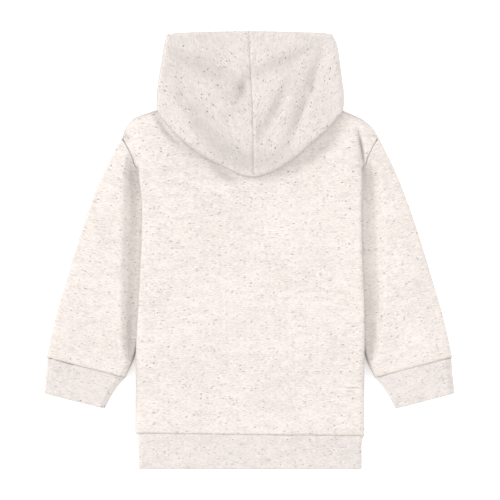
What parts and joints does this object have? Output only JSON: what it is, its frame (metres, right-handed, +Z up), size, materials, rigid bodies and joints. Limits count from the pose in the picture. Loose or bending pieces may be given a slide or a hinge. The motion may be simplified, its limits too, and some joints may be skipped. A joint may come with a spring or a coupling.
{
  "type": "hooded sweatshirt",
  "caption": "Toddler's hooded sweatshirt that lies flat on its front with the hood up, long set-in sleeves tucked beside the body, close cuffs and a straight hem band.",
  "frame": {"origin": "on the surface that the garment lies on, under the middle of its length and width", "axes": "+Y from the hem to the top of the hood, +Z up out of the back, +X to the right of someone who looks down on the back"},
  "size_m": [0.4984, 0.532, 0.0215],
  "materials": {
    "body_knit": "ecru sweatshirt knit with short grey flecks",
    "hood_knit": "the same knit, a shade greyer",
    "band_knit": "close band knit with denser grey flecks"
  },
  "bodies": {
    "root": {"back_panel": "body_knit", "front_panel": "body_knit", "sleeve_left": "body_knit", "sleeve_right": "body_knit", "cuff_left": "band_knit", "cuff_right": "band_knit", "hem_band": "band_knit", "hood_left": "hood_knit", "hood_right": "hood_knit"}
  },
  "joints": []
}
